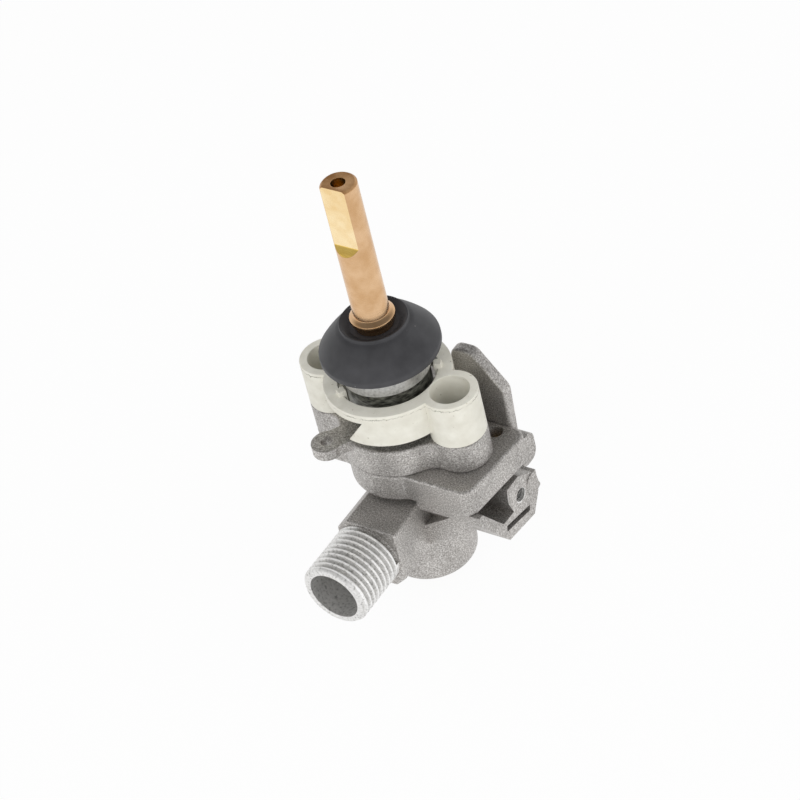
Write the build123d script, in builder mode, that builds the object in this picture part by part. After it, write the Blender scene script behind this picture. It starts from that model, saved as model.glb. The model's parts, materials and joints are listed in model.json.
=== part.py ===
"""Gas safety valve: a cast tap body with a push-and-turn spindle, a tapered plug and a magnet unit.

All sizes are in millimetres. The spindle axis is Z, and Z = 0 is the top of the spindle's collar, where the
bare shaft starts. The outlet points along -Y and the supply rail lies along X behind the body. Heights named
below are measured from the cover face of the body, which the three work planes carry.
"""
import os

from build123d import *

# Fits
slide_clear = 0.05
seat_clear = 0.02
taper_clear = 0.03
mouth_clear = 0.15
socket_clear = 0.1
washer_clear = 0.3
spring_clear = 0.25
pin_end_clear = 0.2

# Run of a cut past the face that it starts from
cut_past = 1.0

# Spindle
spindle_r = 4.0
spindle_top = 71.6
flat_from_axis = 2.5
flat_foot = 54.5
flat_runout = 1.8
end_hole_r = 1.6
end_hole_depth = 5.0
end_chamfer = 0.5
collar_r = 5.0
collar_foot = 33.2
collar_height = 3.6
collar_bevel = 0.8
collar_neck_r = 4.3
collar_neck_h = 1.0
groove_r = 3.6
groove_height = 2.4
push_travel = 2.5

# Rubber seal
seal_rim_z = 27.0
seal_rim_r = 13.4
seal_top_z = 34.6
seal_top_r = 7.6
seal_wall = 1.5
seal_lip = 0.7
seal_step = 1.2
seal_swell = 0.3
seal_funnel_r = 5.4

# Cover screws, which set the ends of the cover, the ring and the body
screw_x = 15.93
screw_r = 2.0
screw_hole_r = 2.2
screw_head_r = 3.6
screw_head_t = 2.6
screw_grip = 5.8
screw_slot_w = 1.0
screw_slot_depth = 1.0
lobe_r = 6.3

# Cover
cover_r = 13.2
cover_t = 7.5
neck_r = 9.4
neck_top = 24.0
neck_band_r = 10.0
neck_band_h = 3.2
waist_round = 5.0
cover_round = 0.6
cover_cavity_r = 7.7
cover_cavity_top = 11.0
ear_reach = 17.1
ear_angle = 234.7
ear_r = 3.5
ear_t = 2.6
ear_hole_r = 1.2
ear_web_l = 6.8
ear_web_w = 6.0
gland_r = 5.6
gland_z = 17.0
gland_h = 2.0
o_ring_sides = 8

# Ivory ring
ring_top = 19.0
ring_r = 14.3
ring_in_r = 11.1
ring_plate_t = 2.4
boss_r = 6.27
boss_hole_r = 4.42
boss_floor = 1.4
skirt_foot = 10.4
skirt_wall = 1.5
notch_foot_x = -3.1
notch_top_x = 1.7
nub_angles = (238.0, 31.0)
nub_w = 1.8
nub_reach = 0.9
nub_rise = 1.2

# Body
cast_round = 0.8
flange_t = 7.3
pad_r = 13.0
corner_front = (23.2, -11.2)
corner_back = (25.6, 11.2)
corner_round = 2.8
barrel_r = 10.6
barrel_foot = -35.9
barrel_round = 2.5
outlet_z = -16.6
block_half = 8.3
block_left = 7.1
block_right = 8.6
block_chamfer = 3.0
block_y = -21.0
thread_r = 8.0
outlet_y = -35.3
outlet_bore_r = 6.0
outlet_bore_end = -20.0
port_z = -13.2
port_r = 2.4
bypass_x = 18.7
bypass_y = 8.4
bypass_r = 1.7
bypass_depth = 6.0
bypass_screw_l = 3.0
bypass_slot_w = 0.6
bypass_slot_depth = 0.7

# Rail saddle behind the body
rail_r = 9.0
rail_y = 21.0
rail_z = -13.5
rail_clear = 0.4
saddle_x0 = -8.0
saddle_x1 = 12.0
saddle_face_y = 18.0
saddle_half_h = 10.3
strap_x = 2.0
strap_pitch = 29.0
strap_hole_r = 1.65
pad_half = 6.0
pad_h = 9.0
pad_back_y = 13.4
inlet_x = 2.0
inlet_r = 1.9
inlet_lean = 13.7
inlet_way = 14.0
inlet_seal_r = 4.4
inlet_seal_in_r = 3.0
inlet_seal_t = 1.6

# Side boss, a walled hexagon with a tapped block inside; corners are (Y, height)
side_x = 24.5
side_root_x = 8.0
side_hole_y = 5.1
side_hole_z = -14.3
side_hole_r = 1.65
side_hole_depth = 9.0
pocket_depth = 10.0
hex_front = (-10.6, -9.6)
hex_low = (-2.0, -21.8)
hex_foot = (8.4, -23.3)
hex_back = (11.6, -18.5)
hex_shoulder = (10.8, -12.4)
hex_top = (5.6, -9.0)
hex_ledge = (0.6, -9.0)
hex_root_y = -3.0
pocket_front_y = -9.2
pocket_low = (-2.9, -16.0)
pocket_foot = (1.4, -16.2)
pocket_waist = (0.2, -12.5)
pocket_back = (0.7, -9.0)
slot_at = (2.6, -19.2)
slot_w = 1.4
slot_l = 9.6
slot_lean = -12.0
rib_end_x = 24.8
rib_root = 1.0
upper_rib = (10.6, -5.4)
upper_rib_w = 6.0
upper_rib_h = 7.6
upper_rib_round = 2.4
lower_rib = (10.4, -15.0)
lower_rib_w = 5.6
lower_rib_round = 2.2

# Gusset from the outlet block to the front corner of the flange
gusset_y = -10.3
gusset_t = 6.0
gusset_root_x = 5.0
gusset_root_z = -17.4
gusset_root_h = 6.4
gusset_tip_x = 20.2
gusset_tip_z = -13.2
gusset_end_x = 22.6
gusset_end_w = 2.2

# Finger lug
lug_t = 3.0
lug_round = 2.6
lug_x0 = 8.8
lug_top = 19.4
lug_top_x = 14.6
lug_end_x = 21.4
lug_end_z = 10.0
lug_root_x = 20.6

# Plug and the chamber below it
plug_top = -1.5
plug_foot = -17.0
plug_top_r = 7.6
plug_foot_r = 6.4
plug_socket_r = spindle_r + socket_clear
plug_socket_floor = -6.8
plug_web_foot = -8.3
plug_hollow_r = 4.2
low_port_r = 0.6
low_port_angle = 70.0
pin_r = 1.1
pin_z = -2.8
pin_len = 12.0
spindle_foot = -4.0
rod_r = 1.5
web_top = -18.0
web_foot = -19.3
web_hole_r = 4.0
lip_r = 5.0
lip_foot = -19.8
chamber_r = 7.5

# Valve disc and magnet unit
disc_r = 5.8
disc_t = 1.6
carrier_r = 6.4
carrier_t = 0.8
stem_r = 1.5
armature_top = -27.0
armature_t = 1.2
housing_r = 4.9
housing_wall = 0.6
housing_top_wall = 0.8
armature_clear = 0.3
housing_top = -25.0
housing_shoulder = -30.0
shoulder_t = 1.5
shoulder_r = 7.4
socket_foot = -39.6
socket_r = 3.5
magnet_gap = 0.1
core_top = armature_top - armature_t - push_travel - magnet_gap
core_foot = -36.0
nut_foot = -37.4
nut_slot = 2.0
nut_slot_depth = 1.2
insulator_t = 0.8
contact_r = 0.8
pole_w = 1.8
pole_l = 3.0
coil_wall = 0.6
yoke_t = 1.2

# Springs and small rings
wire_r = 0.5
wire_sides = 6
spindle_spring_r = 5.4
spindle_spring_turns = 3.5
closing_spring_turns = 3.0
washer_t = 0.6
circlip_z = 9.6
circlip_t = 1.0
circlip_r = 6.0
circlip_gap = 2.4

os.makedirs("parts", exist_ok=True)

# Work planes on the cover face of the body
seat_z = -(collar_foot + collar_height)
base = Plane((0, 0, seat_z))
front = Plane((0, 0, seat_z), x_dir=(1, 0, 0), z_dir=(0, -1, 0))
side = Plane((0, 0, seat_z), x_dir=(0, 1, 0), z_dir=(1, 0, 0))

disc_top = lip_foot - seat_clear
disc_foot = disc_top - disc_t
carrier_foot = disc_foot - carrier_t
nut_top = housing_shoulder - shoulder_t
housing_in_r = housing_r - housing_wall
armature_r = housing_in_r - armature_clear
pole_x = housing_in_r / 2
pad_reach = (strap_pitch + pad_h) / 2
lug_y0 = corner_back[1]
lug_y1 = lug_y0 + lug_t

# Forms of the body that get rounded edges, drawn from zero and set on the cover face with the body:
# first the finger lug, an upright at the back of the flange
with BuildPart() as lug:
    with BuildSketch(Plane.XZ.offset(-lug_y1)):
        with BuildLine():
            FilletPolyline(
                (lug_x0, -flange_t),
                (lug_x0, lug_top),
                (lug_top_x, lug_top),
                (lug_end_x, lug_end_z),
                (lug_root_x, -flange_t),
                radius=lug_round,
                close=True,
            )
        make_face()
    extrude(amount=lug_t)
    fillet(lug.edges().filter_by(Axis.Y, reverse=True), cast_round)

# Flange under the cover, with two square corners on its right
with BuildPart() as flange:
    with BuildSketch(Plane.XY.offset(-flange_t)) as flange_plan:
        Circle(pad_r)
        with Locations((-screw_x, 0)):
            Circle(lobe_r)
        with Locations((-screw_x / 2, 0)):
            Rectangle(screw_x, 2 * lobe_r)
        with BuildLine():
            Polyline((0, 0), (0, corner_front[1]), corner_front, corner_back, (0, corner_back[1]), close=True)
        make_face()
        fillet(flange_plan.vertices(), corner_round)
    extrude(amount=flange_t)
    fillet(flange.edges().filter_by(Axis.Z, reverse=True), cast_round)

# Block at the root of the outlet, which keeps its upper right corner
with BuildPart() as block:
    with BuildSketch(Plane.XZ) as block_face:
        with Locations(((block_right - block_left) / 2, outlet_z)):
            Rectangle(block_left + block_right, 2 * block_half)
        chamfer(block_face.vertices().sort_by(lambda corner: corner.X + corner.Y)[:3], block_chamfer)
    extrude(amount=-block_y)
    fillet(block.edges().filter_by(Axis.Y), cast_round)
    fillet(block.faces().sort_by(Axis.Y)[0].edges(), cast_round / 2)

# Valve body, one casting
with BuildPart(base) as valve_body:
    add(flange.part)
    add(lug.part)
    add(block.part)
    # Barrel
    with BuildSketch(front):
        with BuildLine():
            Line((0, -flange_t), (0, barrel_foot))
            Line((0, barrel_foot), (barrel_r - barrel_round, barrel_foot))
            RadiusArc(
                (barrel_r - barrel_round, barrel_foot), (barrel_r, barrel_foot + barrel_round), -barrel_round
            )
            Line((barrel_r, barrel_foot + barrel_round), (barrel_r, -flange_t))
            Line((barrel_r, -flange_t), (0, -flange_t))
        make_face()
    revolve(axis=Axis.Z)
    # Threaded end of the outlet
    with BuildSketch(front.offset(-block_y)):
        with Locations((0, outlet_z)):
            Circle(thread_r)
    extrude(amount=block_y - outlet_y)
    # Gusset from the block to the corner
    with BuildSketch(front.offset(-gusset_y)):
        with BuildLine():
            Polyline(
                (gusset_root_x, gusset_root_z),
                (gusset_root_x, gusset_root_z - gusset_root_h),
                (gusset_tip_x, gusset_tip_z),
                (gusset_end_x, -flange_t),
                (gusset_end_x - gusset_end_w, -flange_t),
                close=True,
            )
        make_face()
    extrude(amount=-gusset_t)
    # Rail saddle with the two strap pads
    with BuildSketch(side.offset(saddle_x0)):
        with Locations((saddle_face_y / 2, rail_z)):
            Rectangle(saddle_face_y, 2 * saddle_half_h)
    extrude(amount=saddle_x1 - saddle_x0)
    with Locations((strap_x, saddle_face_y, rail_z)):
        Box(2 * pad_half, saddle_face_y - pad_back_y, pad_reach, align=(Align.CENTER, Align.MAX, Align.MIN))
        Box(2 * pad_half, saddle_face_y, pad_reach, align=(Align.CENTER, Align.MAX, Align.MAX))
    # Two ribs that carry the saddle on to the side boss
    with BuildSketch(side.offset(saddle_x1 - rib_root)):
        with Locations(upper_rib):
            RectangleRounded(upper_rib_w, upper_rib_h, upper_rib_round)
        with Locations(lower_rib):
            RectangleRounded(lower_rib_w, lower_rib_w, lower_rib_round)
    extrude(amount=rib_end_x - saddle_x1 + rib_root)
    # Side boss: hexagon wall, pocket, and the slot under its tapped block
    with BuildSketch(side.offset(side_root_x)):
        with BuildLine():
            Polyline(
                (hex_front[0], -flange_t),
                hex_front,
                hex_low,
                hex_foot,
                hex_back,
                hex_shoulder,
                hex_top,
                hex_ledge,
                (hex_root_y, -flange_t),
                close=True,
            )
        make_face()
    extrude(amount=side_x - side_root_x)
    with BuildSketch(side.offset(side_x)):
        with BuildLine():
            Polyline(
                (pocket_front_y, -flange_t),
                pocket_low,
                pocket_foot,
                pocket_waist,
                pocket_back,
                (pocket_back[0], -flange_t),
                close=True,
            )
        make_face()
        with Locations(Location(slot_at, slot_lean)):
            Rectangle(slot_l, slot_w)
    extrude(amount=-pocket_depth, mode=Mode.SUBTRACT)
    # Way of the rail: it bears on the saddle and clears the ribs
    with BuildSketch(side.offset(saddle_x0)):
        with Locations((rail_y, rail_z)):
            Circle(rail_r)
    extrude(amount=saddle_x1 - saddle_x0, mode=Mode.SUBTRACT)
    with BuildSketch(side.offset(saddle_x1)):
        with Locations((rail_y, rail_z)):
            Circle(rail_r + rail_clear)
    extrude(amount=rib_end_x - saddle_x1, mode=Mode.SUBTRACT)
    # Tapered seat for the plug, way to the seat, and the magnet chamber
    with BuildSketch(front):
        with BuildLine():
            Polyline(
                (0, cut_past),
                (plug_top_r + mouth_clear, cut_past),
                (plug_top_r + mouth_clear, plug_top),
                (plug_foot_r + taper_clear, plug_foot),
                (plug_foot_r + taper_clear, web_top),
                (web_hole_r, web_top),
                (web_hole_r, lip_foot),
                (lip_r, lip_foot),
                (lip_r, web_foot),
                (chamber_r, web_foot),
                (chamber_r, barrel_foot - cut_past),
                (0, barrel_foot - cut_past),
                close=True,
            )
        make_face()
    revolve(axis=Axis.Z, mode=Mode.SUBTRACT)
    # Outlet bore and the port from the plug
    with BuildSketch(front.offset(-outlet_y)):
        with Locations((0, outlet_z)):
            Circle(outlet_bore_r)
    extrude(amount=outlet_y - outlet_bore_end, mode=Mode.SUBTRACT)
    with BuildSketch(front.offset(cut_past - outlet_bore_end)):
        with Locations((0, port_z)):
            Circle(port_r)
    extrude(amount=outlet_bore_end - cut_past + plug_hollow_r, mode=Mode.SUBTRACT)
    # Recess for the inlet seal in the saddle, and the slanted way down to the chamber
    with BuildSketch(front.offset(-rail_y)):
        with Locations((inlet_x, rail_z)):
            Circle(inlet_seal_r)
    extrude(amount=rail_r + inlet_seal_t, mode=Mode.SUBTRACT)
    with Locations(Location((inlet_x, rail_y - rail_r - inlet_seal_t, rail_z), (-inlet_lean, 0, 0))):
        Cylinder(inlet_r, inlet_way, align=(Align.CENTER, Align.CENTER, Align.MAX), mode=Mode.SUBTRACT)
    # Tapped holes: cover screws, bypass, strap and side boss
    with Locations((screw_x, 0, 0), (-screw_x, 0, 0)):
        Cylinder(
            screw_r + seat_clear,
            screw_grip + seat_clear,
            align=(Align.CENTER, Align.CENTER, Align.MAX),
            mode=Mode.SUBTRACT,
        )
    with Locations((bypass_x, bypass_y, 0)):
        Cylinder(bypass_r, bypass_depth, align=(Align.CENTER, Align.CENTER, Align.MAX), mode=Mode.SUBTRACT)
    with BuildSketch(front.offset(-saddle_face_y)):
        with Locations((strap_x, rail_z + strap_pitch / 2), (strap_x, rail_z - strap_pitch / 2)):
            Circle(strap_hole_r)
    extrude(amount=saddle_face_y - pad_back_y, mode=Mode.SUBTRACT)
    with BuildSketch(side.offset(side_x)):
        with Locations((side_hole_y, side_hole_z)):
            Circle(side_hole_r)
    extrude(amount=-side_hole_depth, mode=Mode.SUBTRACT)
valve_body.part.label = "valve_body"
export_step(valve_body.part, "parts/valve_body.step")

# Bonnet cover, one casting
with BuildPart(base) as bonnet_cover:
    with BuildSketch(base) as cover_plan:
        Circle(cover_r)
        with Locations((screw_x, 0), (-screw_x, 0)):
            Circle(lobe_r)
        fillet(cover_plan.vertices(), waist_round)
    extrude(amount=cover_t)
    fillet(bonnet_cover.edges().filter_by(Axis.Z, reverse=True), cover_round)
    with BuildSketch(base.offset(cover_t - ear_t)):
        with PolarLocations(ear_reach, 1, start_angle=ear_angle):
            Circle(ear_r)
            Rectangle(ear_web_l, ear_web_w, align=(Align.MAX, Align.CENTER))
    extrude(amount=ear_t)
    Cylinder(neck_r, neck_top, align=(Align.CENTER, Align.CENTER, Align.MIN))
    with Locations((0, 0, neck_top)):
        Cylinder(neck_band_r, neck_band_h, align=(Align.CENTER, Align.CENTER, Align.MAX))
    Cylinder(
        cover_cavity_r, cover_cavity_top, align=(Align.CENTER, Align.CENTER, Align.MIN), mode=Mode.SUBTRACT
    )
    Cylinder(
        spindle_r + slide_clear, neck_top, align=(Align.CENTER, Align.CENTER, Align.MIN), mode=Mode.SUBTRACT
    )
    with Locations((0, 0, gland_z)):
        Cylinder(gland_r, gland_h, align=(Align.CENTER, Align.CENTER, Align.MIN), mode=Mode.SUBTRACT)
    with Locations((screw_x, 0, 0), (-screw_x, 0, 0)):
        Cylinder(screw_hole_r, cover_t, align=(Align.CENTER, Align.CENTER, Align.MIN), mode=Mode.SUBTRACT)
    with PolarLocations(ear_reach, 1, start_angle=ear_angle):
        Cylinder(ear_hole_r, cover_t, align=(Align.CENTER, Align.CENTER, Align.MIN), mode=Mode.SUBTRACT)
bonnet_cover.part.label = "bonnet_cover"
export_step(bonnet_cover.part, "parts/bonnet_cover.step")

# Ivory ring with its two bosses, one moulding
with BuildPart(base) as spacer_ring:
    with BuildSketch(base.offset(skirt_foot)):
        Circle(ring_r)
        Circle(ring_r - skirt_wall, mode=Mode.SUBTRACT)
    extrude(amount=ring_top - skirt_foot)
    with BuildSketch(base.offset(ring_top - ring_plate_t)):
        Circle(ring_r)
        Circle(ring_in_r, mode=Mode.SUBTRACT)
    extrude(amount=ring_plate_t)
    # Slanted notch in the skirt beside the left boss
    with BuildSketch(front):
        with BuildLine():
            Polyline(
                (-screw_x, skirt_foot - cut_past),
                (notch_foot_x, skirt_foot - cut_past),
                (notch_foot_x, skirt_foot),
                (notch_top_x, ring_top - ring_plate_t),
                (-screw_x, ring_top - ring_plate_t),
                close=True,
            )
        make_face()
    extrude(amount=2 * ring_r, mode=Mode.SUBTRACT)
    with Locations((screw_x, 0, cover_t), (-screw_x, 0, cover_t)):
        Cylinder(boss_r, ring_top - cover_t, align=(Align.CENTER, Align.CENTER, Align.MIN))
    with BuildSketch(base.offset(cover_t)):
        Circle(ring_in_r)
    extrude(amount=ring_top, mode=Mode.SUBTRACT)
    # Bores of the bosses down to their floors
    with Locations((screw_x, 0, ring_top), (-screw_x, 0, ring_top)):
        Cylinder(
            boss_hole_r,
            ring_top - cover_t - boss_floor,
            align=(Align.CENTER, Align.CENTER, Align.MAX),
            mode=Mode.SUBTRACT,
        )
        Cylinder(screw_hole_r, 2 * ring_top, mode=Mode.SUBTRACT)
    # Stop nubs on the inside
    for nub_angle in nub_angles:
        with Locations(Location((0, 0, ring_top - ring_plate_t), (0, 0, nub_angle))):
            with Locations((ring_in_r - nub_reach, 0, 0)):
                Box(2 * nub_reach, nub_w, ring_plate_t + nub_rise, align=(Align.MIN, Align.CENTER, Align.MIN))
spacer_ring.part.label = "spacer_ring"
export_step(spacer_ring.part, "parts/spacer_ring.step")

# Cover screws
with BuildPart(base) as cover_screws:
    with Locations((screw_x, 0, cover_t + boss_floor), (-screw_x, 0, cover_t + boss_floor)):
        Cylinder(screw_head_r, screw_head_t, align=(Align.CENTER, Align.CENTER, Align.MIN))
        Cylinder(screw_r, cover_t + boss_floor + screw_grip, align=(Align.CENTER, Align.CENTER, Align.MAX))
    with Locations(
        (screw_x, 0, cover_t + boss_floor + screw_head_t), (-screw_x, 0, cover_t + boss_floor + screw_head_t)
    ):
        Box(2 * screw_head_r + cut_past, screw_slot_w, 2 * screw_slot_depth, mode=Mode.SUBTRACT)
cover_screws.part.label = "cover_screws"
export_step(cover_screws.part, "parts/cover_screws.step")

# Spindle
with BuildPart(base) as spindle:
    Cylinder(spindle_r, spindle_top, align=(Align.CENTER, Align.CENTER, Align.MIN))
    with Locations((0, 0, 0)):
        Cylinder(spindle_r, -spindle_foot, align=(Align.CENTER, Align.CENTER, Align.MAX))
    with BuildSketch(front):
        with BuildLine():
            Polyline(
                (0, collar_foot),
                (collar_neck_r, collar_foot),
                (collar_neck_r, collar_foot + collar_neck_h),
                (collar_r, collar_foot + collar_neck_h + collar_bevel),
                (collar_r, collar_foot + collar_height - collar_bevel),
                (spindle_r, collar_foot + collar_height),
                (0, collar_foot + collar_height),
                close=True,
            )
        make_face()
    revolve(axis=Axis.Z)
    with BuildSketch(front):
        with BuildLine():
            Polyline(
                (groove_r, collar_foot - groove_height),
                (spindle_r + cut_past, collar_foot - groove_height),
                (spindle_r + cut_past, collar_foot),
                (groove_r, collar_foot),
                close=True,
            )
        make_face()
    revolve(axis=Axis.Z, mode=Mode.SUBTRACT)
    # Flat for the knob, with the slope where the cutter ran out at its foot
    with BuildSketch(side.offset(-spindle_r - cut_past)):
        with BuildLine():
            Polyline(
                (-spindle_r - cut_past, flat_foot),
                (-spindle_r, flat_foot),
                (-flat_from_axis, flat_foot + flat_runout),
                (-flat_from_axis, spindle_top + cut_past),
                (-spindle_r - cut_past, spindle_top + cut_past),
                close=True,
            )
        make_face()
    extrude(amount=2 * (spindle_r + cut_past), mode=Mode.SUBTRACT)
    # Blind hole in the end, circlip groove, drive pin hole and the bore for the push rod
    with Locations((0, 0, spindle_top)):
        Cylinder(
            end_hole_r, end_hole_depth, align=(Align.CENTER, Align.CENTER, Align.MAX), mode=Mode.SUBTRACT
        )
    with BuildSketch(base.offset(circlip_z)):
        Circle(spindle_r + cut_past)
        Circle(groove_r, mode=Mode.SUBTRACT)
    extrude(amount=circlip_t, mode=Mode.SUBTRACT)
    with Locations(Location((0, 0, pin_z), (0, 90, 0))):
        Cylinder(pin_r, 2 * (spindle_r + cut_past), mode=Mode.SUBTRACT)
    end_edges = spindle.edges().filter_by(GeomType.CIRCLE).group_by(Axis.Z)[-1]
    chamfer(end_edges.sort_by(SortBy.RADIUS)[-1], end_chamfer)
spindle.part.label = "spindle"
export_step(spindle.part, "parts/spindle.step")

# Drive pin across the foot of the spindle
with BuildPart(base) as drive_pin:
    with Locations(Location((0, 0, pin_z), (0, 90, 0))):
        Cylinder(pin_r - seat_clear / 2, pin_len)
drive_pin.part.label = "drive_pin"
export_step(drive_pin.part, "parts/drive_pin.step")

# Push rod below the spindle
with BuildPart(base) as push_rod:
    with Locations((0, 0, spindle_foot)):
        Cylinder(
            rod_r, spindle_foot - disc_top - slide_clear, align=(Align.CENTER, Align.CENTER, Align.MAX)
        )
push_rod.part.label = "push_rod"
export_step(push_rod.part, "parts/push_rod.step")

# Circlip on the spindle
with BuildPart(base) as circlip:
    with BuildSketch(base.offset(circlip_z + seat_clear)):
        Circle(circlip_r)
        Circle(groove_r + seat_clear, mode=Mode.SUBTRACT)
        with Locations((0, circlip_r)):
            Rectangle(circlip_gap, 2 * circlip_r, mode=Mode.SUBTRACT)
    extrude(amount=circlip_t - 2 * seat_clear)
circlip.part.label = "circlip"
export_step(circlip.part, "parts/circlip.step")

# Rubber seal, a bell with a raised funnel round the collar, held in the groove under it
with BuildPart(base) as rubber_seal:
    hub_foot = collar_foot - groove_height + seat_clear
    hub_head = collar_foot - seat_clear
    shoulder = (seal_top_r + seal_lip, seal_top_z - seal_step)
    rim = (seal_rim_r, seal_rim_z + seal_lip)
    swell = ((shoulder[0] + rim[0] + seal_swell) / 2, (shoulder[1] + rim[1] + seal_swell) / 2)
    with BuildSketch(front):
        with BuildLine():
            Polyline(
                shoulder,
                (seal_top_r, seal_top_z - seal_step + seal_swell),
                (seal_top_r, seal_top_z),
                (seal_top_r - seal_swell, seal_top_z),
                (seal_funnel_r, hub_head),
                (groove_r + seat_clear, hub_head),
                (groove_r + seat_clear, hub_foot),
                (seal_funnel_r, hub_foot),
                (seal_rim_r - seal_wall, seal_rim_z - seal_lip),
                (seal_rim_r, seal_rim_z - seal_lip),
                rim,
            )
            ThreePointArc(rim, swell, shoulder)
        make_face()
    revolve(axis=Axis.Z)
rubber_seal.part.label = "rubber_seal"
export_step(rubber_seal.part, "parts/rubber_seal.step")

# Spindle O-ring in the cover, with an eight-sided section
with BuildPart(base) as spindle_o_ring:
    ring_wire = (gland_r - spindle_r - slide_clear) / 2 - seat_clear
    with BuildSketch(front):
        with Locations((spindle_r + slide_clear + ring_wire, gland_z + gland_h / 2)):
            RegularPolygon(ring_wire, o_ring_sides)
    revolve(axis=Axis.Z)
spindle_o_ring.part.label = "spindle_o_ring"
export_step(spindle_o_ring.part, "parts/spindle_o_ring.step")

# Tapered plug
with BuildPart(base) as plug_cone:
    with BuildSketch(front):
        with BuildLine():
            Polyline(
                (0, plug_top), (plug_top_r, plug_top), (plug_foot_r, plug_foot), (0, plug_foot), close=True
            )
        make_face()
    revolve(axis=Axis.Z)
    with Locations((0, 0, plug_top)):
        Cylinder(
            plug_socket_r,
            plug_top - plug_socket_floor,
            align=(Align.CENTER, Align.CENTER, Align.MAX),
            mode=Mode.SUBTRACT,
        )
        Box(
            pin_len + 2 * pin_end_clear,
            2 * pin_r + 2 * slide_clear,
            plug_top - plug_socket_floor,
            align=(Align.CENTER, Align.CENTER, Align.MAX),
            mode=Mode.SUBTRACT,
        )
        Cylinder(
            rod_r + slide_clear,
            plug_top - plug_foot,
            align=(Align.CENTER, Align.CENTER, Align.MAX),
            mode=Mode.SUBTRACT,
        )
    with Locations((0, 0, plug_web_foot)):
        Cylinder(
            plug_hollow_r,
            plug_web_foot - plug_foot,
            align=(Align.CENTER, Align.CENTER, Align.MAX),
            mode=Mode.SUBTRACT,
        )
    # Main port and the small port for the low flame
    with BuildSketch(side):
        with Locations((0, port_z)):
            Circle(port_r)
    extrude(amount=-plug_top_r, mode=Mode.SUBTRACT)
    with Locations(Location((0, 0, port_z), (0, 90, low_port_angle))):
        Cylinder(low_port_r, plug_top_r, align=(Align.CENTER, Align.CENTER, Align.MIN), mode=Mode.SUBTRACT)
plug_cone.part.label = "plug_cone"
export_step(plug_cone.part, "parts/plug_cone.step")

# Thrust washer on the plug
with BuildPart(base) as thrust_washer:
    with BuildSketch(base.offset(plug_top + seat_clear)):
        Circle(plug_foot_r)
        Circle(spindle_r + washer_clear, mode=Mode.SUBTRACT)
    extrude(amount=washer_t)
thrust_washer.part.label = "thrust_washer"
export_step(thrust_washer.part, "parts/thrust_washer.step")

# Spindle spring between the washer and the circlip
with BuildPart(base) as spindle_spring:
    spring_foot = plug_top + washer_t + 2 * seat_clear + wire_r
    spring_head = circlip_z - wire_r
    with BuildLine(base.offset(spring_foot)) as spindle_coil:
        Helix((spring_head - spring_foot) / spindle_spring_turns, spring_head - spring_foot, spindle_spring_r)
    with BuildSketch(Plane(origin=spindle_coil.line @ 0, z_dir=spindle_coil.line % 0)):
        RegularPolygon(wire_r, wire_sides)
    sweep()
spindle_spring.part.label = "spindle_spring"
export_step(spindle_spring.part, "parts/spindle_spring.step")

# Bypass screw deep in its hole
with BuildPart(base) as bypass_screw:
    with Locations((bypass_x, bypass_y, -bypass_depth)):
        Cylinder(bypass_r - seat_clear, bypass_screw_l, align=(Align.CENTER, Align.CENTER, Align.MIN))
    with Locations((bypass_x, bypass_y, bypass_screw_l - bypass_depth)):
        Box(2 * bypass_r + cut_past, bypass_slot_w, 2 * bypass_slot_depth, mode=Mode.SUBTRACT)
bypass_screw.part.label = "bypass_screw"
export_step(bypass_screw.part, "parts/bypass_screw.step")

# Rubber disc that closes the seat
with BuildPart(base) as valve_disc:
    with Locations((0, 0, disc_foot)):
        Cylinder(disc_r, disc_t, align=(Align.CENTER, Align.CENTER, Align.MIN))
valve_disc.part.label = "valve_disc"
export_step(valve_disc.part, "parts/valve_disc.step")

# Metal carrier under the disc
with BuildPart(base) as disc_carrier:
    with Locations((0, 0, carrier_foot)):
        Cylinder(carrier_r, carrier_t, align=(Align.CENTER, Align.CENTER, Align.MIN))
disc_carrier.part.label = "disc_carrier"
export_step(disc_carrier.part, "parts/disc_carrier.step")

# Stem with the armature plate
with BuildPart(base) as armature_stem:
    with Locations((0, 0, carrier_foot)):
        Cylinder(stem_r, carrier_foot - armature_top, align=(Align.CENTER, Align.CENTER, Align.MAX))
    with Locations((0, 0, armature_top)):
        Cylinder(armature_r, armature_t, align=(Align.CENTER, Align.CENTER, Align.MAX))
armature_stem.part.label = "armature_stem"
export_step(armature_stem.part, "parts/armature_stem.step")

# Closing spring between the carrier and the shoulder of the housing
with BuildPart(base) as closing_spring:
    closing_r = housing_r + wire_r + spring_clear
    closing_foot = housing_shoulder + wire_r
    closing_head = carrier_foot - wire_r
    with BuildLine(base.offset(closing_foot)) as closing_coil:
        Helix((closing_head - closing_foot) / closing_spring_turns, closing_head - closing_foot, closing_r)
    with BuildSketch(Plane(origin=closing_coil.line @ 0, z_dir=closing_coil.line % 0)):
        RegularPolygon(wire_r, wire_sides)
    sweep()
closing_spring.part.label = "closing_spring"
export_step(closing_spring.part, "parts/closing_spring.step")

# Magnet housing, down to the socket for the thermocouple
with BuildPart(base) as magnet_housing:
    with BuildSketch(front):
        with BuildLine():
            Polyline(
                (stem_r + slide_clear, housing_top),
                (housing_r, housing_top),
                (housing_r, housing_shoulder),
                (shoulder_r, housing_shoulder),
                (shoulder_r, nut_top),
                (housing_r, nut_top),
                (housing_r, socket_foot),
                (socket_r, socket_foot),
                (socket_r, core_foot - insulator_t),
                (housing_in_r, core_foot - insulator_t),
                (housing_in_r, housing_top - housing_top_wall),
                (stem_r + slide_clear, housing_top - housing_top_wall),
                close=True,
            )
        make_face()
    revolve(axis=Axis.Z)
magnet_housing.part.label = "magnet_housing"
export_step(magnet_housing.part, "parts/magnet_housing.step")

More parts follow.
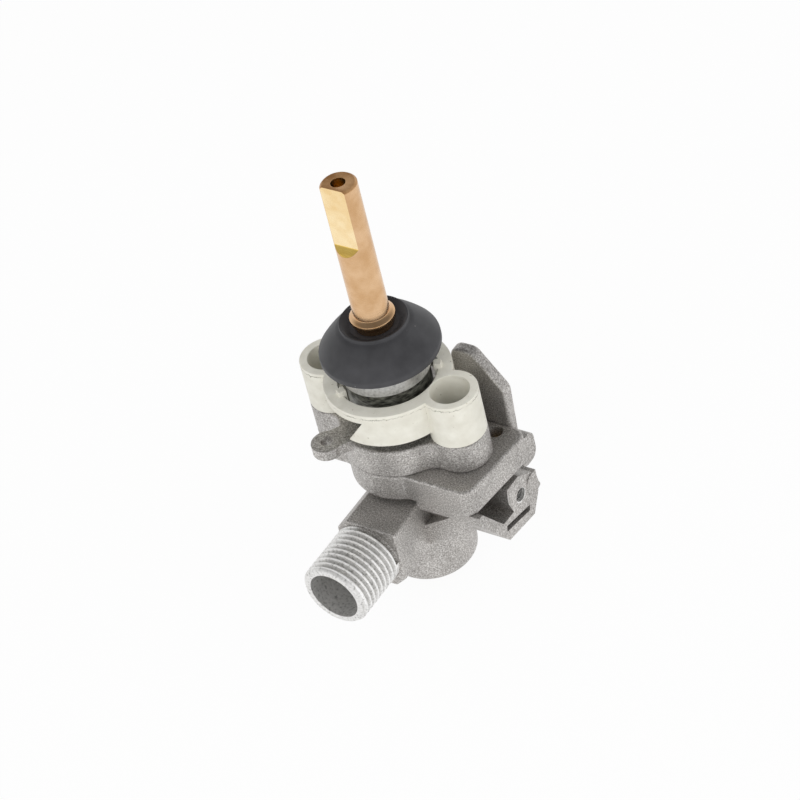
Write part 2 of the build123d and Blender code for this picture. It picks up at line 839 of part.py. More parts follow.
# Magnet core with two poles
with BuildPart(base) as magnet_core:
    with Locations((0, 0, core_foot)):
        Cylinder(housing_in_r - seat_clear, yoke_t, align=(Align.CENTER, Align.CENTER, Align.MIN))
    with Locations((pole_x, 0, core_foot), (-pole_x, 0, core_foot)):
        Box(pole_w, pole_l, core_top - core_foot, align=(Align.CENTER, Align.CENTER, Align.MIN))
magnet_core.part.label = "magnet_core"
export_step(magnet_core.part, "parts/magnet_core.step")

# Winding round one pole
with BuildPart(base) as magnet_coil:
    with BuildSketch(base.offset(core_foot + yoke_t + seat_clear)):
        with Locations((pole_x, 0)):
            Rectangle(pole_w + 2 * coil_wall, pole_l + 2 * coil_wall)
            Rectangle(pole_w + 2 * seat_clear, pole_l + 2 * seat_clear, mode=Mode.SUBTRACT)
        Circle(housing_in_r - seat_clear, mode=Mode.INTERSECT)
    extrude(amount=core_top - core_foot - 2 * yoke_t)
magnet_coil.part.label = "magnet_coil"
export_step(magnet_coil.part, "parts/magnet_coil.step")

# Ring nut that holds the magnet unit in the barrel
with BuildPart(base) as magnet_nut:
    with BuildSketch(base.offset(nut_foot)):
        Circle(chamber_r - seat_clear)
        Circle(housing_r + slide_clear, mode=Mode.SUBTRACT)
    extrude(amount=nut_top - seat_clear - nut_foot)
    with Locations((0, 0, nut_foot)):
        Box(2 * chamber_r + cut_past, nut_slot, 2 * nut_slot_depth, mode=Mode.SUBTRACT)
magnet_nut.part.label = "magnet_nut"
export_step(magnet_nut.part, "parts/magnet_nut.step")

# Insulator and contact in the thermocouple socket
with BuildPart(base) as socket_insulator:
    with BuildSketch(base.offset(core_foot - insulator_t)):
        Circle(housing_in_r - seat_clear)
        Circle(contact_r + seat_clear, mode=Mode.SUBTRACT)
    extrude(amount=insulator_t - seat_clear)
socket_insulator.part.label = "socket_insulator"
export_step(socket_insulator.part, "parts/socket_insulator.step")
with BuildPart(base) as socket_contact:
    with Locations((0, 0, core_foot - seat_clear)):
        Cylinder(contact_r, insulator_t - seat_clear, align=(Align.CENTER, Align.CENTER, Align.MAX))
socket_contact.part.label = "socket_contact"
export_step(socket_contact.part, "parts/socket_contact.step")

# Flat seal round the inlet, let into the saddle
with BuildPart(base) as inlet_seal:
    with BuildSketch(front.offset(-rail_y + rail_r + seat_clear)):
        with Locations((inlet_x, rail_z)):
            Circle(inlet_seal_r - seat_clear)
            Circle(inlet_seal_in_r, mode=Mode.SUBTRACT)
    extrude(amount=inlet_seal_t - 2 * seat_clear)
inlet_seal.part.label = "inlet_seal"
export_step(inlet_seal.part, "parts/inlet_seal.step")
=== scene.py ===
"""Looks of a gas safety valve: cast body with a threaded outlet, ivory ring, rubber bell, brass spindle."""

import json
from math import cos, hypot, pi, radians, sin

import bpy
from mathutils import Matrix, Vector

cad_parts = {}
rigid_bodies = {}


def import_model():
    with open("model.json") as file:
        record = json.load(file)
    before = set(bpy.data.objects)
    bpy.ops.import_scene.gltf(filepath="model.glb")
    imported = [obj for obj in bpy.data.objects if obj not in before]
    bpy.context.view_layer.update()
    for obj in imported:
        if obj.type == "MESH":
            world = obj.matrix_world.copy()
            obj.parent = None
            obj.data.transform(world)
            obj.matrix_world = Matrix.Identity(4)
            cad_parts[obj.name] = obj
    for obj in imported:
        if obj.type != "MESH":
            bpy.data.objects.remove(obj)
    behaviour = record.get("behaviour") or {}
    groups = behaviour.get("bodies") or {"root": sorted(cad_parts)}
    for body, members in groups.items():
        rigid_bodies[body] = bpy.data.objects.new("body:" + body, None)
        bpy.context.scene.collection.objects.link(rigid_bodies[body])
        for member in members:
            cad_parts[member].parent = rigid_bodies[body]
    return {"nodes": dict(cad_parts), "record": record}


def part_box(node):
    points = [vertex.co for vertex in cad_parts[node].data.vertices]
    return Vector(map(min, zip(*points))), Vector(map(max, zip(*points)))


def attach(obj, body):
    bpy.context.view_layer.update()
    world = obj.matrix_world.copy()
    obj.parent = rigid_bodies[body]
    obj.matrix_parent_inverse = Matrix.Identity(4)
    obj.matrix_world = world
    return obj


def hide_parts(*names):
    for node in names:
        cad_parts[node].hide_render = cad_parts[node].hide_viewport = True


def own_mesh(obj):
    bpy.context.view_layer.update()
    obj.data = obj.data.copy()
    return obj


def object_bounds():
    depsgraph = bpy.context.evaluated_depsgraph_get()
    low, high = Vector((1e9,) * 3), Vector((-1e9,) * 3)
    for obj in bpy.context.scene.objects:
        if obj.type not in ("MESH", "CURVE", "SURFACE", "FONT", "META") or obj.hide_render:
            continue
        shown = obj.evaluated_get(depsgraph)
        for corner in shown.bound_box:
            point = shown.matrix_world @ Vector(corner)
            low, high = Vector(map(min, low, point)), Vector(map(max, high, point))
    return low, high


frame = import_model()
cad_low, cad_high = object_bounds()
mounts = {mount["name"]: mount for mount in frame["record"]["mounts"]}
mm = 0.001

# Camera, measured from the axis of the spindle at the rim of the rubber bell
view_turn = radians(41.71)
view_height = radians(40.85)
view_roll = radians(-14.55)
view_right = -4.25 * mm
view_down = -11.85 * mm
view_distance = 642.6 * mm
lens = 135.0
near_clip = 0.01
rim_height = -9.8 * mm

# Limits for welding and shading meshes, and edges left by casting, moulding and turning
weld = 0.002 * mm
flat_angle = radians(0.6)
sharp_angle = radians(32)
cast_edge = 0.12 * mm
mould_edge = 0.2 * mm
turned_edge = 0.08 * mm

# Outlet thread, 16 x 1.5
outlet = Vector(mounts["outlet_thread"]["pos_m"])
outlet_r = mounts["outlet_thread"]["dims"]["r_mm"] * mm
outlet_length = mounts["outlet_thread"]["dims"]["length_mm"] * mm
outlet_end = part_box("valve_body")[0].y
outlet_pitch = 1.5 * mm
outlet_depth = 0.8 * mm
outlet_chamfer = 0.7 * mm
outlet_runout = 0.5 * mm
shoulder_y = outlet_end + outlet_length - outlet_runout
crest_band = 0.1 * mm
crest_r = outlet_r - crest_band

# Thread in the side boss, M4 x 0.7, whose faces look along the hole less than face_on
side_hole = Vector(mounts["side_hole"]["pos_m"])
side_r = mounts["side_hole"]["dims"]["r_mm"] * mm
side_depth = mounts["side_hole"]["dims"]["length_mm"] * mm
side_pitch = 0.7 * mm
side_thread = 0.35 * mm
side_wall_r = side_r + 2 * side_thread
face_on = 0.95

# Share of the pitch that a groove takes at its wide and at its narrow end, and of its depth that stands clear
groove_wide = 0.82
groove_narrow = 0.2
groove_clear = 0.25
steps_per_turn = 64

# Stretch of a pattern into tool rings round the Y axis and round the Z axis, and into streaks round the
# neck's painted shade
round_y = (0.02, 1.0, 0.02)
round_z = (0.02, 0.02, 1.0)
neck_streak = (0.3, 0.3, 1.0)
gloss_spread = 0.1

# Walls and nubs of the ivory ring, and the flash line that its mould left just under the walls' upper edge
boss_x = 15.93 * mm
boss_wall_r = 5.3 * mm
ring_wall_r = 12.5 * mm
nub_rise = 1.2 * mm
ring_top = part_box("spacer_ring")[1].z - nub_rise
flash_span = 1.2 * mm
flash_wave = 1.2 * mm

# Faces of the spindle above the bell and within milled_r are cut. Sloped ones are its run-out and its end;
# the run-out gets a deeper gold as a painted reflection.
milled_r = 3.7 * mm
milled_slope = 0.1
sawn_height = 1.0 * mm
spindle_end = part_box("spindle")[1].z - sawn_height

# Neck of the cover: a turned band at its top, and painted shade under the band, where the bell and ring keep
# light off
neck_r = 9.6 * mm
band_height = 3.3 * mm
neck_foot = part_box("spacer_ring")[0].z
band_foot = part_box("bonnet_cover")[1].z - band_height

# Stage: the sky goes from the horizon's strength to the ceiling's between two heights, and the floor glows
floor_size = 4.0
lamp_distance = 0.9
horizon = 0.95
ceiling = 0.22
matt_ceiling = 0.55
sky_low = 0.1
sky_high = 0.65
floor_glow = 0.95


def linear(colour):
    """An sRGB colour such as 8f9092 as linear red, green, blue and alpha."""
    parts = [int(colour[i:i + 2], 16) / 255 for i in (0, 2, 4)]
    return [c / 12.92 if c <= 0.04045 else ((c + 0.055) / 1.055) ** 2.4 for c in parts] + [1.0]


def grain(size):
    """Scale of a pattern whose marks have this size in millimetres."""
    return 1 / (size * mm)


def direction(turn, height):
    """Unit vector out from the valve, by the turn from its front and the height above the floor."""
    return Vector((sin(turn) * cos(height), -cos(turn) * cos(height), sin(height)))


def settle(tree, node, values):
    """Links each value that is a socket to the node, and sets each other one."""
    for name, value in values.items():
        if isinstance(value, bpy.types.NodeSocket):
            tree.links.new(value, node.inputs[name])
        else:
            node.inputs[name].default_value = value


def add(tree, kind, values, stops=(), **settings):
    """Adds a node with its settings, its values and, for a colour ramp, its stops."""
    node = tree.nodes.new(kind)
    for name, value in settings.items():
        setattr(node, name, value)
    settle(tree, node, values)
    for number, (position, colour) in enumerate(stops):
        if number >= len(node.color_ramp.elements):
            node.color_ramp.elements.new(position)
        node.color_ramp.elements[number].position = position
        node.color_ramp.elements[number].color = linear(colour)
    return node


def start_material(name):
    """A new material's node tree, with its shader and the object's own coordinates."""
    material = bpy.data.materials.new(name)
    material.use_nodes = True
    tree = material.node_tree
    place = add(tree, "ShaderNodeTexCoord", {}).outputs["Object"]
    return material, tree, tree.nodes["Principled BSDF"], place


def cast_aluminium_finish():
    """Sandblasted die casting: grey metal with a speckle of bright and dark grit marks."""
    material, tree, shader, place = start_material("sandblasted_cast_aluminium")
    grit = add(tree, "ShaderNodeTexNoise", {"Vector": place, "Scale": grain(0.32), "Detail": 3.0})
    cloud = add(tree, "ShaderNodeTexNoise", {"Vector": place, "Scale": grain(7.0), "Detail": 2.0})
    speckle = add(
        tree,
        "ShaderNodeValToRGB",
        {"Fac": grit.outputs["Fac"]},
        stops=((0.33, "9c9894"), (0.5, "c5c1bd"), (0.68, "efedea")),
    )
    shade = add(
        tree, "ShaderNodeValToRGB", {"Fac": cloud.outputs["Fac"]}, stops=((0.3, "e4e4e4"), (0.7, "ffffff"))
    )
    tone = add(
        tree,
        "ShaderNodeMixRGB",
        {"Fac": 1.0, "Color1": speckle.outputs["Color"], "Color2": shade.outputs["Color"]},
        blend_type="MULTIPLY",
    )
    bump = add(
        tree, "ShaderNodeBump", {"Height": grit.outputs["Fac"], "Strength": 0.6, "Distance": 0.15 * mm}
    )
    settle(
        tree,
        shader,
        {
            "Base Color": tone.outputs["Color"],
            "Metallic": 0.84,
            "Roughness": 0.5,
            "Normal": bump.outputs["Normal"],
        },
    )
    return material


def neck_shade_finish():
    """Painted shade on the casting under the bell and ring: almost black, with a gloss and a few paler
    streaks round the neck.
    """
    material, tree, shader, place = start_material("cast_aluminium_painted_shade")
    along = add(tree, "ShaderNodeMapping", {"Vector": place, "Scale": neck_streak})
    streak = add(
        tree, "ShaderNodeTexNoise", {"Vector": along.outputs["Vector"], "Scale": grain(0.5), "Detail": 3.0}
    )
    tone = add(
        tree, "ShaderNodeValToRGB", {"Fac": streak.outputs["Fac"]}, stops=((0.4, "35352f"), (0.7, "8a8a80"))
    )
    settle(tree, shader, {"Base Color": tone.outputs["Color"], "Metallic": 0.5, "Roughness": 0.35})
    return material


def turned_aluminium_finish(name, stretch, tones, metal):
    """Turned aluminium: smoother than the casting, with fine tool rings and small pits."""
    material, tree, shader, place = start_material(name)
    along = add(tree, "ShaderNodeMapping", {"Vector": place, "Scale": stretch})
    rings = add(
        tree, "ShaderNodeTexNoise", {"Vector": along.outputs["Vector"], "Scale": grain(0.25), "Detail": 2.0}
    )
    pits = add(tree, "ShaderNodeTexNoise", {"Vector": place, "Scale": grain(0.6), "Detail": 3.0})
    stops = zip((0.3, 0.42, 0.7), tones)
    tone = add(tree, "ShaderNodeValToRGB", {"Fac": pits.outputs["Fac"]}, stops=stops)
    bump = add(
        tree, "ShaderNodeBump", {"Height": rings.outputs["Fac"], "Strength": 0.35, "Distance": 0.05 * mm}
    )
    settle(
        tree,
        shader,
        {
            "Base Color": tone.outputs["Color"],
            "Metallic": metal,
            "Roughness": 0.32,
            "Normal": bump.outputs["Normal"],
        },
    )
    return material


def brass_finish(name, dark, light, rough, metal=1.0):
    """Machined brass: warm metal with faint tool lines round its axis and clouds of tarnish."""
    material, tree, shader, place = start_material(name)
    along = add(tree, "ShaderNodeMapping", {"Vector": place, "Scale": round_z})
    rings = add(
        tree, "ShaderNodeTexNoise", {"Vector": along.outputs["Vector"], "Scale": grain(0.2), "Detail": 2.0}
    )
    tarnish = add(tree, "ShaderNodeTexNoise", {"Vector": place, "Scale": grain(4.0), "Detail": 3.0})
    tone = add(
        tree, "ShaderNodeValToRGB", {"Fac": tarnish.outputs["Fac"]}, stops=((0.35, dark), (0.65, light))
    )
    gloss = add(
        tree,
        "ShaderNodeMapRange",
        {"Value": rings.outputs["Fac"], "To Min": rough - gloss_spread, "To Max": rough + gloss_spread},
    )
    bump = add(
        tree, "ShaderNodeBump", {"Height": rings.outputs["Fac"], "Strength": 0.2, "Distance": 0.03 * mm}
    )
    settle(
        tree,
        shader,
        {
            "Base Color": tone.outputs["Color"],
            "Metallic": metal,
            "Roughness": gloss.outputs["Result"],
            "Normal": bump.outputs["Normal"],
        },
    )
    return material


def rubber_finish():
    """Moulded nitrile rubber: charcoal black with a satin bloom and a few specks of dust."""
    material, tree, shader, place = start_material("moulded_black_rubber")
    bloom = add(tree, "ShaderNodeTexNoise", {"Vector": place, "Scale": grain(5.0), "Detail": 4.0})
    dust = add(tree, "ShaderNodeTexVoronoi", {"Vector": place, "Scale": grain(1.6)})
    patch = add(tree, "ShaderNodeTexNoise", {"Vector": place, "Scale": grain(9.0), "Detail": 1.0})
    body = add(
        tree, "ShaderNodeValToRGB", {"Fac": bloom.outputs["Fac"]}, stops=((0.3, "313134"), (0.7, "424245"))
    )
    speck = add(
        tree,
        "ShaderNodeValToRGB",
        {"Fac": dust.outputs["Distance"]},
        stops=((0.06, "ffffff"), (0.1, "000000")),
    )
    where = add(
        tree, "ShaderNodeValToRGB", {"Fac": patch.outputs["Fac"]}, stops=((0.56, "000000"), (0.62, "ffffff"))
    )
    share = add(
        tree,
        "ShaderNodeMath",
        {0: speck.outputs["Color"], 1: where.outputs["Color"]},
        operation="MULTIPLY",
    )
    tone = add(
        tree,
        "ShaderNodeMixRGB",
        {"Fac": share.outputs["Value"], "Color1": body.outputs["Color"], "Color2": linear("8d8c8a")},
    )
    bump = add(
        tree, "ShaderNodeBump", {"Height": bloom.outputs["Fac"], "Strength": 0.2, "Distance": 0.1 * mm}
    )
    settle(
        tree,
        shader,
        {"Base Color": tone.outputs["Color"], "Roughness": 0.5, "Normal": bump.outputs["Normal"]},
    )
    return material


def ivory_finish(name, flash):
    """Moulded thermoset plastic: matt ivory, faintly mottled and scuffed, with a patchy dark flash line."""
    material, tree, shader, place = start_material(name)
    mottle = add(tree, "ShaderNodeTexNoise", {"Vector": place, "Scale": grain(3.0), "Detail": 5.0})
    scuff = add(tree, "ShaderNodeTexNoise", {"Vector": place, "Scale": grain(0.7), "Detail": 4.0})
    body = add(
        tree, "ShaderNodeValToRGB", {"Fac": mottle.outputs["Fac"]}, stops=((0.3, "dfdccf"), (0.7, "edebe0"))
    )
    spots = add(
        tree, "ShaderNodeValToRGB", {"Fac": scuff.outputs["Fac"]}, stops=((0.68, "ffffff"), (0.76, "c4bfb2"))
    )
    scuffed = add(
        tree,
        "ShaderNodeMixRGB",
        {"Fac": 1.0, "Color1": body.outputs["Color"], "Color2": spots.outputs["Color"]},
        blend_type="MULTIPLY",
    )
    height = add(tree, "ShaderNodeSeparateXYZ", {"Vector": place})
    wave = add(
        tree,
        "ShaderNodeMath",
        {0: scuff.outputs["Fac"], 1: flash_wave, 2: height.outputs["Z"]},
        operation="MULTIPLY_ADD",
    )
    band = add(
        tree,
        "ShaderNodeMapRange",
        {"Value": wave.outputs["Value"], "From Min": ring_top - flash_span, "From Max": ring_top},
    )
    line = add(
        tree,
        "ShaderNodeValToRGB",
        {"Fac": band.outputs["Result"]},
        stops=((0.62, "ffffff"), (0.74, "7d7768"), (0.8, "7d7768"), (0.92, "ffffff")),
    )
    worn = add(
        tree,
        "ShaderNodeMapRange",
        {"Value": mottle.outputs["Fac"], "From Min": 0.4, "From Max": 0.6, "To Max": flash},
    )
    tone = add(
        tree,
        "ShaderNodeMixRGB",
        {"Fac": worn.outputs["Result"], "Color1": scuffed.outputs["Color"], "Color2": line.outputs["Color"]},
        blend_type="MULTIPLY",
    )
    bump = add(
        tree, "ShaderNodeBump", {"Height": scuff.outputs["Fac"], "Strength": 0.25, "Distance": 0.08 * mm}
    )
    settle(
        tree,
        shader,
        {"Base Color": tone.outputs["Color"], "Roughness": 0.55, "Normal": bump.outputs["Normal"]},
    )
    return material


def plain_metal_finish(name, dark, light, rough):
    """Drawn or plated metal of the inner pieces: a faint cloud of lighter and darker metal."""
    material, tree, shader, place = start_material(name)
    cloud = add(tree, "ShaderNodeTexNoise", {"Vector": place, "Scale": grain(1.5), "Detail": 3.0})
    tone = add(tree, "ShaderNodeValToRGB", {"Fac": cloud.outputs["Fac"]}, stops=((0.3, dark), (0.7, light)))
    settle(tree, shader, {"Base Color": tone.outputs["Color"], "Metallic": 1.0, "Roughness": rough})
    return material


def phenolic_finish():
    """Pressed phenolic board: brown and matt, with a grain of paper fibres."""
    material, tree, shader, place = start_material("pressed_phenolic")
    fibre = add(tree, "ShaderNodeTexNoise", {"Vector": place, "Scale": grain(0.4), "Detail": 4.0})
    tone = add(
        tree, "ShaderNodeValToRGB", {"Fac": fibre.outputs["Fac"]}, stops=((0.3, "4a2f1e"), (0.7, "6a4630"))
    )
    settle(tree, shader, {"Base Color": tone.outputs["Color"], "Roughness": 0.7})
    return material


def choose(piece):
    """Makes one piece the only selected and active object."""
    bpy.ops.object.select_all(action="DESELECT")
    piece.select_set(True)
    bpy.context.view_layer.objects.active = piece


def apply_modifier(piece, kind, **settings):
    """Adds a modifier with its settings and applies it."""
    choose(piece)
    modifier = piece.modifiers.new(kind.lower(), kind)
    for name, value in settings.items():
        setattr(modifier, name, value)
    bpy.ops.object.modifier_apply(modifier=modifier.name)


def welded_copy(node, name, body):
    """A copy of a CAD solid as one closed mesh, which stands for the solid."""
    piece = bpy.data.objects.new(name, frame["nodes"][node].data.copy())
    bpy.context.scene.collection.objects.link(piece)
    choose(piece)
    bpy.ops.mesh.customdata_custom_splitnormals_clear()
    bpy.ops.object.mode_set(mode="EDIT")
    bpy.ops.mesh.select_all(action="SELECT")
    bpy.ops.mesh.remove_doubles(threshold=weld)
    bpy.ops.mesh.dissolve_limited(angle_limit=flat_angle)
    bpy.ops.object.mode_set(mode="OBJECT")
    piece.data.materials.clear()
    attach(piece, body)
    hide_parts(node)
    return piece


def break_edges(piece, width):
    """Rounds every sharp edge of a piece by a small width."""
    apply_modifier(
        piece,
        "BEVEL",
        width=width,
        segments=2,
        limit_method="ANGLE",
        angle_limit=sharp_angle,
        use_clamp_overlap=False,
    )


def smooth(piece):
    """Drops faces without area, then shades round faces smooth and keeps corners sharp and flats flat."""
    choose(piece)
    bpy.ops.object.mode_set(mode="EDIT")
    bpy.ops.mesh.select_all(action="SELECT")
    bpy.ops.mesh.remove_doubles(threshold=weld)
    bpy.ops.mesh.quads_convert_to_tris()
    bpy.ops.mesh.dissolve_degenerate(threshold=weld)
    bpy.ops.object.mode_set(mode="OBJECT")
    bpy.ops.object.shade_smooth_by_angle(angle=sharp_angle)
    apply_modifier(piece, "WEIGHTED_NORMAL", keep_sharp=True)


def paint(piece, material, chosen=None):
    """Gives a piece a finish, or only those of its faces that are chosen."""
    piece.data.materials.append(material)
    if chosen is None:
        return
    last = len(piece.data.materials) - 1
    for face in piece.data.polygons:
        if chosen(face):
            face.material_index = last


def is_cut(face):
    """Whether a face of the spindle lies above the bell and inside the round of the shaft."""
    return face.center.z > 0 and face.center.xy.length < milled_r


def is_side_thread(face):
    """Whether a face of the body belongs to the thread of the side hole."""
    from_hole = face.center - side_hole
    return from_hole.x > -side_depth and from_hole.yz.length < side_wall_r and abs(face.normal.x) < face_on


def thread_groove(inner_r, outer_r, pitch, length, wide_outside):
    """A helical cutter along Z: the groove of a thread between two radii."""
    middle = (inner_r + outer_r) / 2
    bpy.ops.object.select_all(action="DESELECT")
    bpy.ops.mesh.primitive_plane_add(size=1, location=(middle, 0, 0), rotation=(pi / 2, 0, 0))
    cutter = bpy.context.active_object
    cutter.scale = (outer_r - inner_r, pitch, 1)
    bpy.ops.object.transform_apply(location=True, rotation=True, scale=True)
    for vertex in cutter.data.vertices:
        outside = vertex.co.x > middle
        vertex.co.z *= groove_wide if outside == wide_outside else groove_narrow
    bpy.ops.object.mode_set(mode="EDIT")
    bpy.ops.mesh.select_all(action="SELECT")
    bpy.ops.mesh.delete(type="ONLY_FACE")
    bpy.ops.object.mode_set(mode="OBJECT")
    apply_modifier(
        cutter,
        "SCREW",
        axis="Z",
        angle=2 * pi,
        screw_offset=pitch,
        iterations=int(length / pitch),
        steps=steps_per_turn,
        render_steps=steps_per_turn,
    )
    bpy.ops.object.mode_set(mode="EDIT")
    bpy.ops.mesh.select_all(action="SELECT")
    bpy.ops.mesh.remove_doubles(threshold=weld)
    bpy.ops.mesh.fill_holes(sides=4)
    bpy.ops.mesh.select_all(action="SELECT")
    bpy.ops.mesh.normals_make_consistent(inside=False)
    bpy.ops.object.mode_set(mode="OBJECT")
    return cutter


def cut_thread(piece, cutter, start, turn):
    """Sets a cutter at its start, turned to its axis, takes it out of the piece and deletes it."""
    choose(cutter)
    cutter.location = start
    cutter.rotation_euler = turn
    bpy.ops.object.transform_apply(location=True, rotation=True, scale=True)
    apply_modifier(piece, "BOOLEAN", operation="DIFFERENCE", solver="EXACT", object=cutter)
    bpy.data.objects.remove(cutter)


def chamfer_outlet(piece):
    """Takes the corner off the end of the outlet."""
    choose(piece)
    for edge in piece.data.edges:
        ends = [piece.data.vertices[v].co for v in edge.vertices]
        edge.select = all(co.y < outlet_end + weld and (co - outlet).xz.length > crest_r for co in ends)
    for face in piece.data.polygons:
        face.select = False
    for vertex in piece.data.vertices:
        vertex.select = False
    bpy.ops.object.mode_set(mode="EDIT")
    bpy.ops.mesh.select_mode(type="EDGE")
    bpy.ops.mesh.bevel(offset=outlet_chamfer, segments=1)
    bpy.ops.object.mode_set(mode="OBJECT")


def lamp(name, turn, height, size, power):
    """A soft square lamp that points at the middle of the valve and shows in no reflection."""
    towards = direction(turn, height)
    data = bpy.data.lights.new(name, "AREA")
    data.size = size
    data.energy = power
    light = bpy.data.objects.new(name, data)
    bpy.context.scene.collection.objects.link(light)
    light.location = (cad_low + cad_high) / 2 + towards * lamp_distance
    light.rotation_mode = "QUATERNION"
    light.rotation_quaternion = towards.to_track_quat("Z", "Y")
    light.visible_glossy = False


cast_aluminium = cast_aluminium_finish()
shaded_neck_aluminium = neck_shade_finish()
thread_aluminium = turned_aluminium_finish(
    "cut_thread_aluminium", round_y, ("b0afad", "dcdbd9", "f2f1ef"), metal=0.7
)
# Worn crests of the outlet thread, painted near white as a highlight
crest_highlight_aluminium = turned_aluminium_finish(
    "worn_thread_crest_painted_highlight", round_y, ("c8c7c5", "f4f3f1", "ffffff"), metal=0.3
)
band_aluminium = turned_aluminium_finish(
    "turned_aluminium", round_z, ("9a9997", "b6b5b3", "cac9c7"), metal=0.7
)
turned_brass = brass_finish("turned_brass", "d2a87b", "e4be95", 0.24)
milled_brass = brass_finish("milled_brass", "f4d49c", "ffe8ba", 0.22)
# A deeper gold for the sloped run-out of the flat: a painted reflection of the tilted facet
runout_reflection_brass = brass_finish("milled_brass_runout_painted_reflection", "f2c862", "ffda78", 0.3)
sawn_brass = brass_finish("sawn_brass", "a87848", "d4a878", 0.4, metal=0.6)
dull_brass = brass_finish("lapped_brass", "a8864f", "c2a067", 0.4)
rubber = rubber_finish()
ivory = ivory_finish("moulded_ivory_plastic", 0.0)
flashed_ivory = ivory_finish("moulded_ivory_with_flash", 0.9)
plated_steel = plain_metal_finish("zinc_plated_steel", "9b9da0", "b9bbbd", 0.35)
drawn_steel = plain_metal_finish("drawn_spring_steel", "85868a", "a3a4a7", 0.3)
bare_iron = plain_metal_finish("bare_soft_iron", "6a6a6c", "818184", 0.5)
copper = plain_metal_finish("enamelled_copper", "a35a30", "c07a48", 0.3)
phenolic = phenolic_finish()

# Body: rounded cast edges, then the two threads
body = welded_copy("valve_body", "body_casting", "body")
chamfer_outlet(body)
break_edges(body, cast_edge)
outlet_groove = thread_groove(
    outlet_r - outlet_depth,
    outlet_r + outlet_depth * groove_clear,
    outlet_pitch,
    outlet_length,
    wide_outside=True,
)
cut_thread(body, outlet_groove, Vector((outlet.x, shoulder_y, outlet.z)), (pi / 2, 0, 0))
side_groove = thread_groove(
    side_r - side_thread * groove_clear, side_r + side_thread, side_pitch, side_depth, wide_outside=False
)
cut_thread(body, side_groove, side_hole - Vector((side_depth - side_pitch, 0, 0)), (0, pi / 2, 0))
paint(body, cast_aluminium)
paint(body, thread_aluminium, lambda face: face.center.y < shoulder_y or is_side_thread(face))
# The outlet thread's worn crests, painted near white as a painted highlight
paint(
    body,
    crest_highlight_aluminium,
    lambda face: face.center.y < shoulder_y and (face.center - outlet).xz.length > crest_r,
)
smooth(body)

# Cover
cover = welded_copy("bonnet_cover", "cover_casting", "body")
break_edges(cover, cast_edge)
paint(cover, cast_aluminium)
paint(cover, band_aluminium, lambda face: face.center.z > band_foot)
# Painted shade: the neck below the band, under the bell and ring, is painted almost black
paint(
    cover,
    shaded_neck_aluminium,
    lambda face: neck_foot < face.center.z < band_foot and face.center.xy.length < neck_r,
)
smooth(cover)

# Ivory ring, rubber bell and spindle
ring = welded_copy("spacer_ring", "ivory_ring", "body")
break_edges(ring, mould_edge)
paint(ring, ivory)
paint(
    ring,
    flashed_ivory,
    lambda face: hypot(abs(face.center.x) - boss_x, face.center.y) > boss_wall_r
    and face.center.xy.length > ring_wall_r,
)
smooth(ring)
bell = welded_copy("rubber_seal", "rubber_bell", "spindle")
break_edges(bell, mould_edge)
paint(bell, rubber)
smooth(bell)
shaft = welded_copy("spindle", "brass_spindle", "spindle")
break_edges(shaft, turned_edge)
paint(shaft, turned_brass)
paint(shaft, milled_brass, is_cut)
# Painted reflection: the flat's sloped run-out is given a deeper gold than the flat
paint(shaft, runout_reflection_brass, lambda face: is_cut(face) and face.normal.z > milled_slope)
paint(shaft, sawn_brass, lambda face: face.center.z > spindle_end and face.normal.z > milled_slope)
smooth(shaft)

# Springs of the joints, each a welded copy with a mesh of its own, on the body of its joint's parent
for joint in frame["record"]["behaviour"]["joints"]:
    for spring in joint.get("deforming_nodes", []):
        coil = welded_copy(spring["node"], spring["node"] + "_coil", joint["parent"])
        paint(coil, drawn_steel)
        smooth(coil)
        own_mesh(coil)

# Pieces that keep their CAD solid
finishes = {
    "brass": turned_brass,
    "plug_brass": dull_brass,
    "black_rubber": rubber,
    "steel": plated_steel,
    "spring_steel": drawn_steel,
    "soft_iron": bare_iron,
    "copper_wire": copper,
    "insulator": phenolic,
}
for part in frame["record"]["subparts"]:
    node = frame["nodes"][part["node"]]
    if not node.hide_render:
        node.data.materials.clear()
        node.data.materials.append(finishes[part["material_slot"]])

# Floor, white to the camera and in reflections, which keeps a faint shadow
bpy.ops.mesh.primitive_plane_add(size=floor_size, location=(0, 0, cad_low.z))
floor = bpy.context.active_object
floor.name = "floor"
paper = bpy.data.materials.new("white_paper")
paper.use_nodes = True
tree = paper.node_tree
rays = add(tree, "ShaderNodeLightPath", {})
camera_or_glossy = add(
    tree,
    "ShaderNodeMath",
    {0: rays.outputs["Is Camera Ray"], 1: rays.outputs["Is Glossy Ray"]},
    operation="MAXIMUM",
)
seen = add(
    tree,
    "ShaderNodeMath",
    {0: camera_or_glossy.outputs["Value"], 1: rays.outputs["Is Transmission Ray"]},
    operation="MAXIMUM",
)
share = add(tree, "ShaderNodeMath", {0: seen.outputs["Value"], 1: floor_glow}, operation="MULTIPLY")
glow = add(tree, "ShaderNodeEmission", {"Color": linear("ffffff"), "Strength": 1.0})
settle(tree, tree.nodes["Principled BSDF"], {"Base Color": linear("f2f2f2"), "Roughness": 0.9})
blend = add(
    tree,
    "ShaderNodeMixShader",
    {
        0: share.outputs["Value"],
        1: tree.nodes["Principled BSDF"].outputs["BSDF"],
        2: glow.outputs["Emission"],
    },
)
settle(tree, tree.nodes["Material Output"], {"Surface": blend.outputs["Shader"]})
floor.data.materials.append(paper)

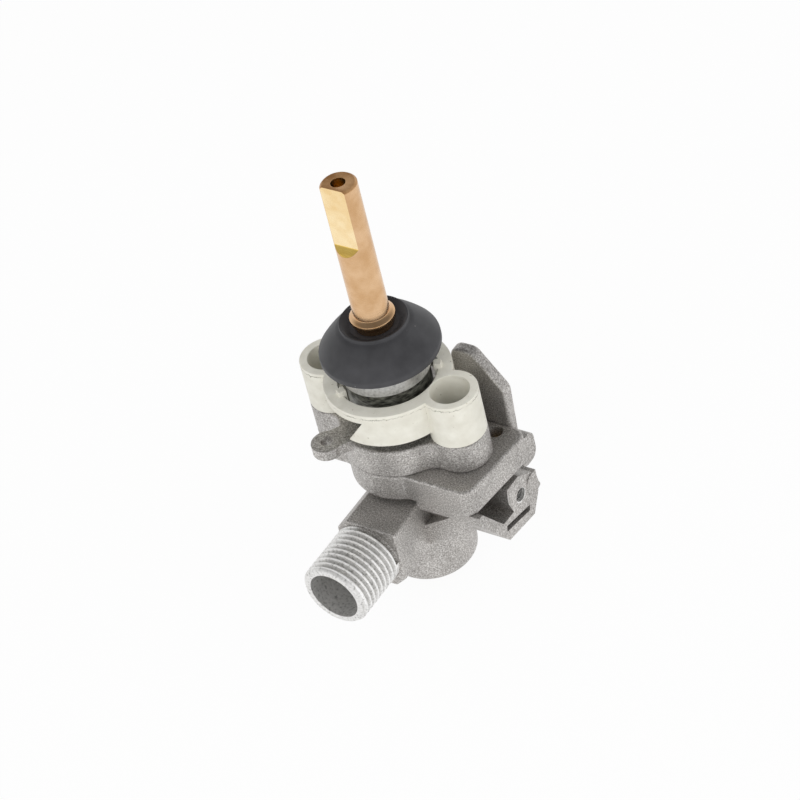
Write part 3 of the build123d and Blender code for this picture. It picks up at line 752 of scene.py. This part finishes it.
# World: white to the camera. Metal mirrors a pale horizon and a dark ceiling, which lights matt faces more.
world = bpy.data.worlds.new("studio")
bpy.context.scene.world = world
world.use_nodes = True
tree = world.node_tree
rays = add(tree, "ShaderNodeLightPath", {})
seen = add(
    tree,
    "ShaderNodeMath",
    {0: rays.outputs["Is Camera Ray"], 1: rays.outputs["Is Transmission Ray"]},
    operation="MAXIMUM",
)
way = add(tree, "ShaderNodeTexCoord", {})
height = add(tree, "ShaderNodeSeparateXYZ", {"Vector": way.outputs["Generated"]})
sky = add(
    tree,
    "ShaderNodeMapRange",
    {
        "Value": height.outputs["Z"],
        "From Min": sky_low,
        "From Max": sky_high,
        "To Min": horizon,
        "To Max": ceiling,
    },
)
soft = add(
    tree, "ShaderNodeMath", {0: rays.outputs["Is Diffuse Ray"], 1: matt_ceiling}, operation="MULTIPLY"
)
light = add(tree, "ShaderNodeMath", {0: sky.outputs["Result"], 1: soft.outputs["Value"]}, operation="MAXIMUM")
strength = add(
    tree, "ShaderNodeMath", {0: light.outputs["Value"], 1: seen.outputs["Value"]}, operation="MAXIMUM"
)
settle(
    tree,
    tree.nodes["Background"],
    {"Color": linear("ffffff"), "Strength": strength.outputs["Value"]},
)

# Lamps
lamp("key", turn=radians(10), height=radians(35), size=0.7, power=3.0)
lamp("fill", turn=radians(100), height=radians(25), size=0.8, power=2.0)

# Camera
back = direction(view_turn, view_height)
right = Vector((cos(view_turn), sin(view_turn), 0))
up = back.cross(right)
camera_x = right * cos(view_roll) + up * sin(view_roll)
camera_y = up * cos(view_roll) - right * sin(view_roll)
eye = Vector((0, 0, rim_height)) - camera_x * view_right + camera_y * view_down + back * view_distance
camera = bpy.data.objects.new("camera", bpy.data.cameras.new("camera"))
bpy.context.scene.collection.objects.link(camera)
camera.data.lens = lens
camera.data.clip_start = near_clip
camera.matrix_world = Matrix.Translation(eye) @ Matrix((camera_x, camera_y, back)).transposed().to_4x4()
bpy.context.scene.camera = camera
bpy.context.scene.view_settings.view_transform = "Standard"
